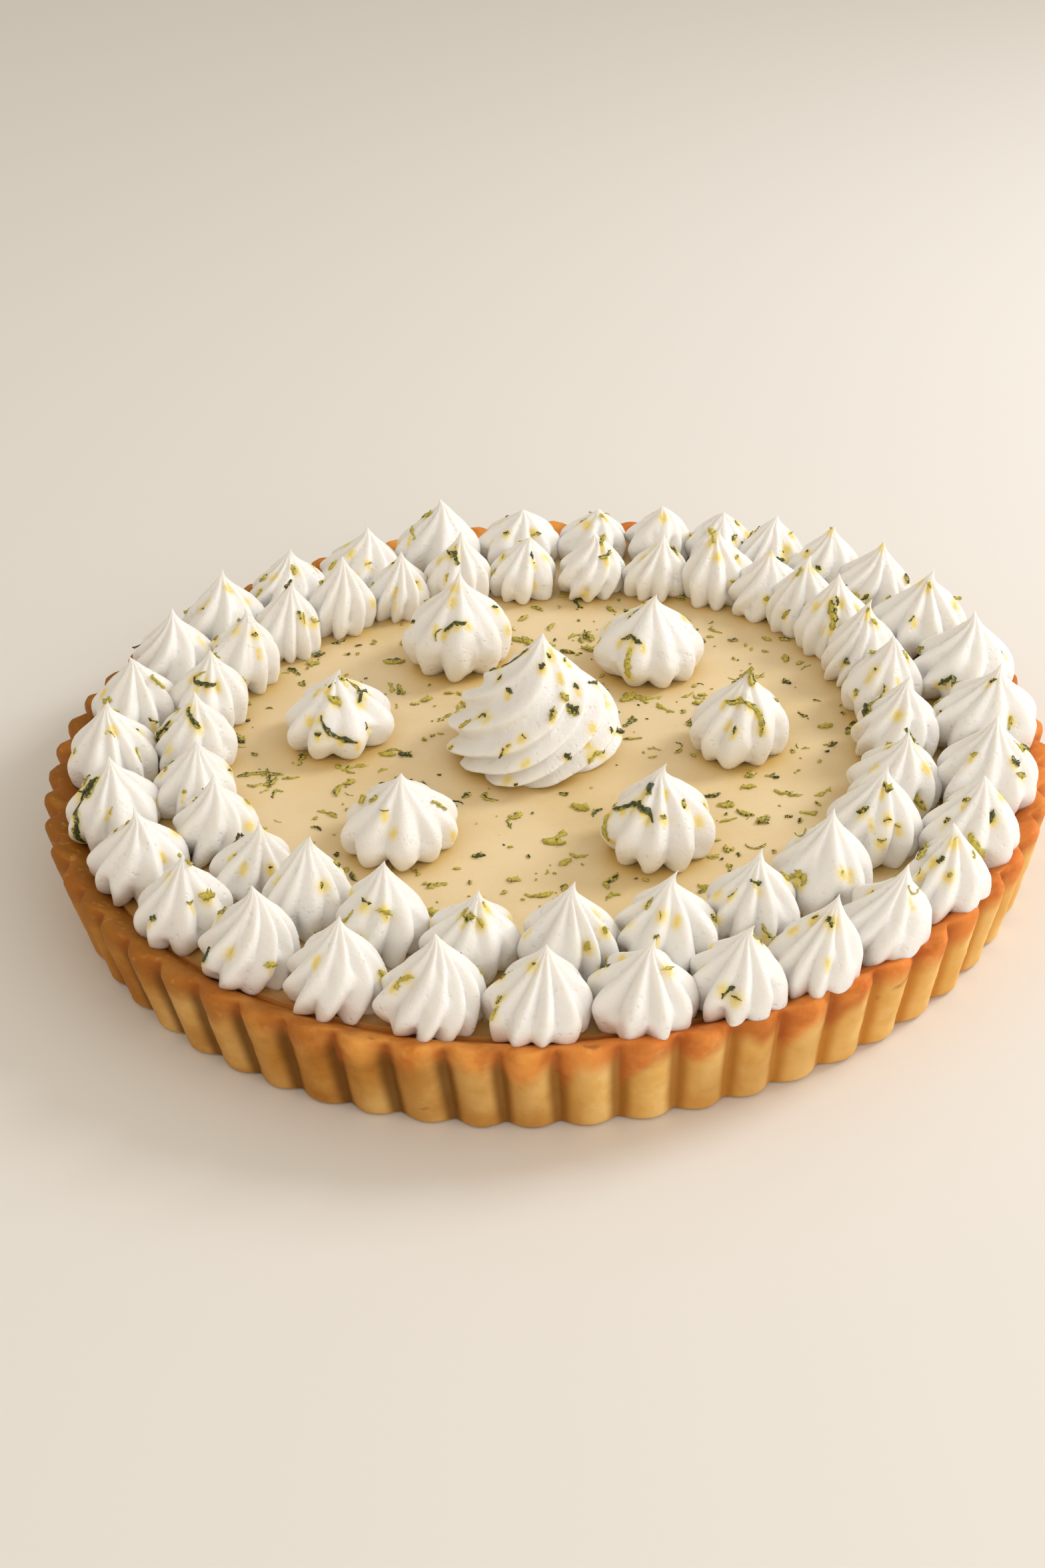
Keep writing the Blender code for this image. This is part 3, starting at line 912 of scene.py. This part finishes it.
def tear_shreds(chance, home):
    for number in SHREDS:
        length, width = chance.uniform(2.6, 5.4) * MM, chance.uniform(1.1, 2.0) * MM
        thick, curl = chance.uniform(0.45, 0.8) * MM, chance.uniform(-1.8, 1.8)
        shred(f"shred_{number:02d}", length, width, thick, curl, chance, home)
    for number in THREADS:
        length, curl = chance.uniform(3.4, 5.2) * MM, chance.uniform(-2.6, 2.6)
        shred(f"shred_{number:02d}", length, 0.6 * MM, 0.5 * MM, curl, chance, home)
    for number in CRUMBS:
        length, width = chance.uniform(1.2, 1.9) * MM, chance.uniform(1.0, 1.5) * MM
        shred(f"shred_{number:02d}", length, width, 0.8 * MM, 0.4, chance, home)


def zest_tree(material, shreds):
    """Lays one of the shreds on every point, turned and sized as the point says."""
    tree, size = geometry_tree("scattered zest", {"Float": ["Size"]})

    def on_point(name):
        node = add(tree, "GeometryNodeInputNamedAttribute", {"Name": name}, data_type=ON_POINTS[name])
        return Value(tree, node.outputs[0])

    inputs = {"Collection": shreds, "Separate Children": True, "Reset Children": True}
    source = add(tree, "GeometryNodeCollectionInfo", inputs)
    inputs = {"Vector": on_point("upright")}
    facing = add(tree, "FunctionNodeAlignRotationToVector", inputs, axis="Z")
    inputs = {"Axis": (0.0, 0.0, 1.0), "Angle": on_point("turn")}
    spin = add(tree, "FunctionNodeAxisAngleToRotation", inputs)
    inputs = {"Rotation": facing.outputs[0], "Rotate By": spin.outputs[0]}
    rotation = add(tree, "FunctionNodeRotateRotation", inputs, rotation_space="LOCAL")
    inputs = {
        "Points": size["Geometry"],
        "Instance": source.outputs[0],
        "Pick Instance": True,
        "Instance Index": on_point("kind"),
        "Rotation": rotation.outputs[0],
        "Scale": on_point("size") * size["Size"],
    }
    laid = add(tree, "GeometryNodeInstanceOnPoints", inputs)
    return finish_tree(tree, laid.outputs[0], material)


@dataclass
class Spot:
    """Where one shred lies."""

    place: Vector
    upright: Vector
    turn: float
    size: float
    kind: int
    tone: float


def spots_on(obj, count, chance, steepest, sizes, kinds, tones):
    """Random places on a piece's upper faces, spread by area."""
    mesh = obj.data
    mesh.calc_loop_triangles()
    corners = np.array([tuple(face.vertices) for face in mesh.loop_triangles])
    points = mesh_points(obj)[corners]
    normals = np.cross(points[:, 1] - points[:, 0], points[:, 2] - points[:, 0])
    area = np.linalg.norm(normals, axis=1)
    unit = normals / np.maximum(area, 1e-12)[:, None]
    total = np.cumsum(area * np.clip(unit[:, 2] - steepest, 0.0, None))
    spots = []
    for _ in range(count):
        face = int(np.searchsorted(total, chance.random() * total[-1]))
        a, b = sorted((chance.random(), chance.random()))
        place = Vector(points[face][0] * a + points[face][1] * (b - a) + points[face][2] * (1 - b))
        turn = chance.uniform(0, math.tau)
        size = sizes[0] + (sizes[1] - sizes[0]) * chance.random() ** 1.5
        tone = chance.uniform(*tones)
        spots.append(Spot(place, Vector(unit[face]), turn, size, chance.choice(kinds), tone))
    return spots


def scatter(name, spots, tree):
    mesh = bpy.data.meshes.new(name)
    mesh.from_pydata([spot.place for spot in spots], [], [])
    for attribute, kind in ON_POINTS.items():
        key = "vector" if kind == "FLOAT_VECTOR" else "value"
        layer = mesh.attributes.new(attribute, kind, "POINT")
        for item, spot in zip(layer.data, spots):
            setattr(item, key, getattr(spot, attribute))
    piece = grown(name, tree, {"Size": 1.0}, placed(name, mesh))
    dress(piece, "custard")
    return piece


def stain(pieces, spots):
    """Paints how yellow each point of the meringue is, from the zest lying just above it."""
    near = KDTree(len(spots) * 3)
    down = Vector((0.0, 0.0, -1.0))
    for number, spot in enumerate(spots):
        slope = (down - spot.upright * down.dot(spot.upright)).normalized()
        for step in range(3):
            run = (0.3 + 1.1 * step * (number * 0.382 % 1.0)) * MM
            near.insert(spot.place + slope * run, number)
    near.balance()
    for piece in pieces:
        layer = piece.data.attributes.new("stain", "FLOAT", "POINT")
        values = np.zeros(len(piece.data.vertices), np.float32)
        for number, point in enumerate(mesh_points(piece)):
            for found in near.find_range(point, STAIN_REACH):
                spot, distance = found[1:]
                spread = (0.65 + 0.95 * (spot * 0.618 % 1.0)) * MM
                values[number] = max(values[number], math.exp(-((distance / spread) ** 2)))
        layer.data.foreach_set("value", values)


def zest_on_custard(custard, kisses, chance):
    kinds = [*SHREDS, *SHREDS, *THREADS]
    shreds = spots_on(custard, CUSTARD_SHREDS, chance, 0.5, (0.55, 1.45), kinds, (-0.4, 0.65))
    crumbs = spots_on(custard, CUSTARD_CRUMBS, chance, 0.5, (0.3, 0.95), CRUMBS, (-0.4, 0.8))
    spots = []
    for spot in shreds + crumbs:
        flat = spot.place.to_2d()
        clear = all((kiss.centre.to_2d() - flat).length > kiss.radius * 0.86 for kiss in kisses)
        if clear and flat.length < ZEST_REACH:
            spot.place.z += 0.1 * MM
            spots.append(spot)
    return spots


def zest_on_meringue(meringue, chance):
    """Places for zest, and bare places where zest has lain and left its stain."""
    spots, bare = [], []
    for piece in meringue:
        swirl, middle = "swirl" in piece.name, "middle" in piece.name
        count = SWIRL_ZEST if swirl else MIDDLE_ZEST if middle else RING_ZEST
        count *= 2 if "kisses" in piece.name else 1
        kinds = [*SHREDS, *SHREDS, *THREADS, *CRUMBS]
        tones = (0.0, 1.0) if middle or swirl else (-0.3, 0.9)
        spots += spots_on(piece, count, chance, 0.05, (0.5, 1.25), kinds, tones)
        bare += spots_on(piece, max(1, count // 2), chance, 0.05, (1.0, 1.0), [0], (0.0, 1.0))
    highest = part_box("centre_swirl")[1][2] - BARE_TIP
    return [spot for spot in spots if spot.place.z < highest], bare


def strew_zest(custard, meringue, kisses, material):
    chance = random.Random(SEED + 1)
    home = bpy.data.collections.new("shreds")
    tear_shreds(chance, home)
    tree = zest_tree(material, home)
    on_meringue, bare = zest_on_meringue(meringue, chance)
    scatter("zest_on_custard", zest_on_custard(custard, kisses, chance), tree)
    scatter("zest_on_meringue", on_meringue, tree)
    pieces = {piece.name.removesuffix("_piped"): piece for piece in meringue}
    pieces["custard"] = custard
    stain(meringue, on_meringue + bare + lay_strips(pieces, kisses, material))
    for obj in list(home.objects):
        bpy.data.objects.remove(obj)


# Strips laid one by one ----------

STRIP_THICKNESS = 0.55 * MM


@dataclass
class Strip:
    """A long shred laid through a few listed points of a kiss, or of the custard.

    On a kiss a point is (azimuth in degrees, millimetres above the custard), with the front
    at -90; on the custard it is (x, y) in millimetres. Tone goes from yellow 0 to dark 1.
    """

    node: str
    number: int
    path: tuple
    width: float
    tone: float


STRIPS = [Strip(*row) for row in (
    ("middle_kiss_03", 0, ((-176, 12), (-150, 15), (-118, 15.5), (-100, 13)), 1.4, 0.8),
    ("middle_kiss_03", 0, ((-173, 11), (-168, 8), (-164, 5)), 1.9, 0.0),
    ("middle_kiss_04", 0, ((-140, 16), (-85, 17), (-55, 15), (-66, 9)), 1.6, 0.25),
    ("middle_kiss_06", 0, ((-108, 14.5), (-92, 17), (-72, 17)), 1.3, 1.0),
    ("middle_kiss_01", 0, ((29, 16.5), (0, 15), (-27, 12)), 1.4, 0.7),
    ("middle_kiss_01", 0, ((-110, 12), (-92, 8), (-66, 6)), 1.4, 0.6),
    ("middle_kiss_05", 0, ((-118, 12), (-117, 8), (-115, 5)), 1.7, 0.0),
    ("middle_kiss_05", 0, ((-145, 12), (-125, 14), (-104, 13)), 1.5, 0.8),
    ("outer_kisses_25_26", 0, ((-170, 13), (-130, 14), (-128, 17), (-158, 16), (-160, 11)), 1.4, 0.8),
    ("outer_kisses_25_26", 0, ((-150, 12), (-134, 9), (-137, 5), (-134, 2)), 1.5, 0.7),
    ("inner_kiss_24", 0, ((-165, 14), (-178, 9), (-172, 5)), 1.3, 0.6),
    ("inner_kiss_24", 0, ((-60, 20), (-80, 17), (-58, 14)), 1.5, 0.6),
    ("inner_kiss_23", 0, ((-140, 14.5), (-94, 14), (-50, 13.5)), 1.4, 0.9),
    ("inner_kiss_08", 0, ((160, 9), (165, 13), (140, 15)), 2.3, 0.7),
    ("outer_kisses_09_10", 0, ((-128, 8), (-115, 10), (-97, 11.5)), 1.8, 0.8),
    ("outer_kisses_09_10", 1, ((150, 7), (155, 11)), 2.0, 0.8),
    ("outer_kisses_07_08", 1, ((-104, 11), (-92, 8), (-82, 5)), 2.6, 0.1),
    ("inner_kiss_11", 0, ((-100, 16), (-90, 13), (-97, 10)), 2.3, 0.3),
    ("inner_kiss_07", 0, ((-68, 7), (-60, 3)), 2.1, 0.1),
    ("centre_swirl", 0, ((165, 24), (150, 27), (110, 30)), 0.8, 1.0),
    ("custard", 0, ((-80, -7), (-75, -5.5), (-68, -7)), 1.5, 0.5),
    ("custard", 0, ((-72.5, -4), (-71.5, -9), (-71, -13)), 1.4, 0.5),
)]


def surface_of(obj):
    mesh = obj.data
    return BVHTree.FromPolygons(
        [vertex.co for vertex in mesh.vertices], [tuple(face.vertices) for face in mesh.polygons]
    )


def smoothed(path):
    """Many points along a bent path."""
    corners = np.array(path, float)
    steps = np.linspace(0, len(corners) - 1, (len(corners) - 1) * 6 + 1)
    columns = [np.interp(steps, range(len(corners)), column) for column in corners.T]
    for _ in range(2):
        for column in columns:
            column[1:-1] = (column[:-2] + column[1:-1] * 2 + column[2:]) / 4
    return list(zip(*columns))


def touch(surface, kiss, point):
    """Where a point of a strip meets the surface, and the surface's normal there."""
    if kiss is None:
        return surface.ray_cast(Vector((point[0] * MM, point[1] * MM, 1.0)), Vector((0, 0, -1)))[:2]
    outward = polar(1.0, point[0]).to_3d()
    level = kiss.centre.z + point[1] * MM
    axis = kiss.centre.to_2d().to_3d() + Vector((0.0, 0.0, level))
    return surface.ray_cast(axis + outward * kiss.radius * 1.3, -outward)[:2]


def lay_strip(name, strip, kiss, surface, chance, home):
    """One strip as a mesh, and the spots it stains."""
    found = [touch(surface, kiss, point) for point in smoothed(unwound(strip.path, kiss))]
    found = [(place, normal) for place, normal in found if place]
    stations, spots = [], []
    for number, (place, normal) in enumerate(found):
        before, after = found[max(number - 1, 0)][0], found[min(number + 1, len(found) - 1)][0]
        side = normal.cross(after - before).normalized()
        share = number / (len(found) - 1)
        thin = 1.0 - 0.7 * abs(2 * share - 1) ** 4
        half = strip.width * MM / 2 * thin * chance.uniform(0.6, 1.3)
        tall = STRIP_THICKNESS / 2 * chance.uniform(0.7, 1.3)
        lift = normal * (STRIP_THICKNESS * chance.uniform(0.1, 0.5))
        stations.append((place + lift, side, normal, half, tall))
        spots.append(Spot(place, normal, 0.0, 1.0, 0, strip.tone))
    obj = ribbon(name, stations, chance, home)
    tone = obj.data.attributes.new("tone", "FLOAT", "POINT")
    for item in tone.data:
        item.value = strip.tone
    return obj, spots[::4]


def unwound(path, kiss):
    """Azimuths that run on past half a turn instead of jumping back."""
    if kiss is None:
        return path
    turns = np.unwrap([point[0] for point in path], period=360)
    return [(turn, point[1]) for turn, point in zip(turns, path)]


def lay_strips(pieces, kisses, material):
    """All the listed strips, as one piece, and what they stain."""
    chance = random.Random(SEED + 2)
    home = bpy.context.scene.collection
    surfaces, laid, spots = {}, [], []
    for number, strip in enumerate(STRIPS):
        if strip.node not in surfaces:
            surfaces[strip.node] = surface_of(pieces[strip.node])
        own = [kiss for kiss in kisses if kiss.node == strip.node]
        kiss = own[strip.number] if own else None
        obj, stains = lay_strip(f"strip_{number:02d}", strip, kiss, surfaces[strip.node], chance, home)
        laid.append(obj)
        if own:
            spots += stains
    piece = joined(laid)
    piece.name = piece.data.name = "zest_strips"
    piece.data.materials.append(material)
    piece.data.shade_smooth()
    dress(piece, "custard")
    return spots


# Stage ------------------------

FLOOR_HALF = 3.0
FLOOR_DROP = 0.4 * MM  # the floor lies this far under the pie


def aim_camera():
    elevation = math.radians(CAMERA_ELEVATION)
    outward = back = Vector((0.0, -math.cos(elevation), math.sin(elevation)))
    right = Vector((1.0, 0.0, 0.0))
    up = back.cross(right)
    yaw = Matrix.Rotation(math.radians(CAMERA_YAW), 3, up)
    right, back = yaw @ right, yaw @ back
    pitch = Matrix.Rotation(math.radians(CAMERA_PITCH), 3, right)
    up, back = pitch @ up, pitch @ back
    roll = Matrix.Rotation(math.radians(CAMERA_ROLL), 3, -back)
    right, up = roll @ right, roll @ up
    data = bpy.data.cameras.new("camera")
    data.lens = CAMERA_LENS
    data.sensor_width = 36
    data.clip_start = 0.01
    camera = placed("camera", data)
    turned = Matrix((right, up, back)).transposed().to_4x4()
    camera.matrix_world = Matrix.Translation(outward * CAMERA_DISTANCE) @ turned
    bpy.context.scene.camera = camera


def area_light(name, azimuth, elevation, distance, size, power, colour):
    data = bpy.data.lights.new(name, "AREA")
    data.shape = "DISK"
    data.size = size
    data.energy = power
    data.color = colour
    light = placed(name, data)
    level = distance * math.cos(math.radians(elevation))
    flat = polar(level, azimuth)
    light.location = (flat.x, flat.y, distance * math.sin(math.radians(elevation)))
    light.rotation_euler = light.location.to_track_quat("Z", "Y").to_euler()


def set_stage():
    shape = bmesh.new()
    bmesh.ops.create_grid(shape, x_segments=1, y_segments=1, size=FLOOR_HALF)
    floor = placed("floor", mesh_from(shape, "floor"))
    floor.location.z = -FLOOR_DROP
    material, tree, place = new_material("pale floor", (0.78, 0.76, 0.73), 0.7)
    cloud = noise_at(tree, place, 1.5, 2.0)
    coat(tree, mixed(tree, cloud, (0.77, 0.75, 0.72), (0.80, 0.78, 0.75)))
    floor.data.materials.append(material)
    area_light("key", 18, 35, 1.1, 0.38, 5.95, (0.985, 0.992, 1.0))
    area_light("front", -46, 25, 1.4, 1.2, 5.7, (1.0, 0.97, 0.93))
    area_light("fill", 225, 45, 1.4, 1.2, 1.6, (1.0, 0.84, 0.60))
    world = bpy.data.worlds.new("room")
    world.use_nodes = True
    background = world.node_tree.nodes["Background"]
    background.inputs["Color"].default_value = (1.0, 0.905, 0.77, 1.0)
    background.inputs["Strength"].default_value = 0.64
    bpy.context.scene.world = world
    bpy.context.scene.view_settings.view_transform = "Standard"


# The pie ----------------------


def main():
    aim_camera()
    set_stage()
    custard_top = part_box("custard")[1][2]
    build_crust(pastry_material())
    meringue, kisses = pipe_kisses(meringue_material(), custard_top)
    custard = build_custard(custard_material(), custard_top, kisses)
    strew_zest(custard, meringue, kisses, zest_material())


main()
